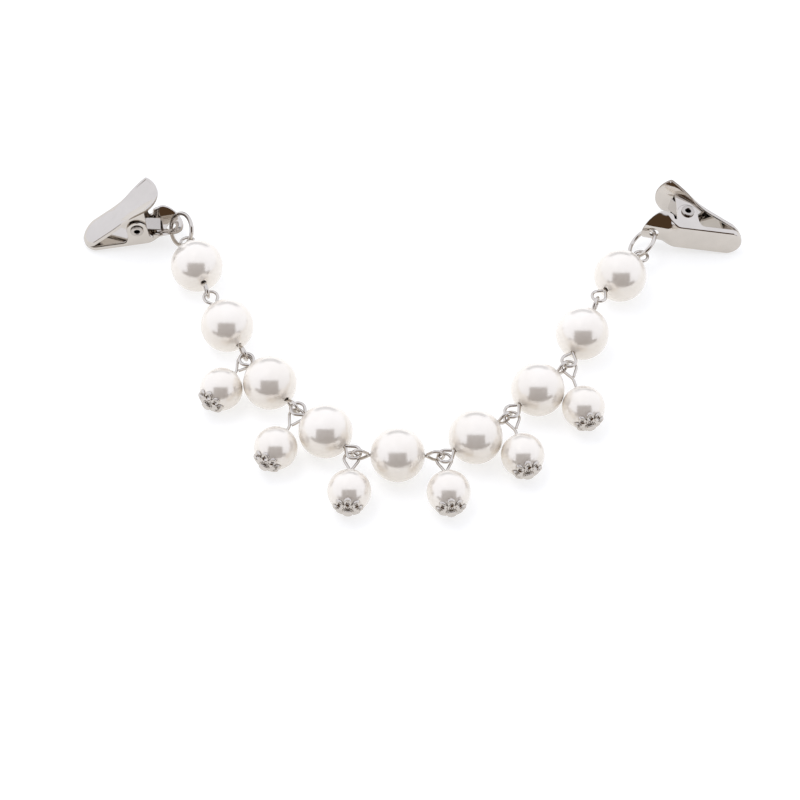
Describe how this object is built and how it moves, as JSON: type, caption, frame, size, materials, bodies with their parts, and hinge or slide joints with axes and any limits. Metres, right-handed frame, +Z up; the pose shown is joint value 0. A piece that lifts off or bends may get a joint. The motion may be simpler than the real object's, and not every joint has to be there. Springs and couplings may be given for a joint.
{
  "type": "sweater clip",
  "caption": "Pearl bead chain with hanging pearl drops and a spring clip at each end, laid in an open curve; holds the two fronts of a cardigan together.",
  "frame": {"origin": "middle of the box's underside, on the surface that the chain and clips lie on", "axes": "+X from the left clip to the right clip along the longest side, +Y from the sag of the chain towards the clips, +Z up"},
  "size_m": [0.1273, 0.074, 0.0131],
  "materials": {
    "pearl": "pearlescent lacquer, soft gloss",
    "silver": "bright plated",
    "steel": "plated, slightly duller"
  },
  "bodies": {
    "chain": {"pearl_1": "pearl", "pearl_2": "pearl", "pearl_3": "pearl", "pearl_4": "pearl", "pearl_5": "pearl", "pearl_6": "pearl", "pearl_7": "pearl", "pearl_8": "pearl", "pearl_9": "pearl", "eye_pin_1": "silver", "eye_pin_2": "silver", "eye_pin_3": "silver", "eye_pin_4": "silver", "eye_pin_5": "silver", "eye_pin_6": "silver", "eye_pin_7": "silver", "eye_pin_8": "silver", "eye_pin_9": "silver", "drop_pearl_1": "pearl", "drop_pearl_2": "pearl", "drop_pearl_3": "pearl", "drop_pearl_4": "pearl", "drop_pearl_5": "pearl", "drop_pearl_6": "pearl", "drop_cap_1": "silver", "drop_cap_2": "silver", "drop_cap_3": "silver", "drop_cap_4": "silver", "drop_cap_5": "silver", "drop_cap_6": "silver", "head_pin_1": "silver", "head_pin_2": "silver", "head_pin_3": "silver", "head_pin_4": "silver", "head_pin_5": "silver", "head_pin_6": "silver", "jump_ring_left": "silver", "jump_ring_right": "silver", "left_base": "silver", "left_rivet": "steel", "left_spring": "steel", "right_base": "silver", "right_rivet": "steel", "right_spring": "steel"},
    "left_lever": {"left_lever": "silver"},
    "right_lever": {"right_lever": "silver"}
  },
  "joints": [
    {"name": "left_lever_hinge", "type": "hinge", "parent": "chain", "child": "left_lever", "pos_m": [-0.05303, 0.02958, 0.0056], "axis": [-0.081, 0.9954, -0.052], "range_deg": [0, 25], "stiffness_Nm_per_rad": 0.1, "springref_deg": -28.65, "deforming": ["left_spring"]},
    {"name": "right_lever_hinge", "type": "hinge", "parent": "chain", "child": "right_lever", "pos_m": [0.05267, 0.02987, 0.00432], "axis": [0.1536, 0.0365, 0.9875], "range_deg": [0, 25], "stiffness_Nm_per_rad": 0.1, "springref_deg": -28.65, "deforming": ["right_spring"]}
  ]
}
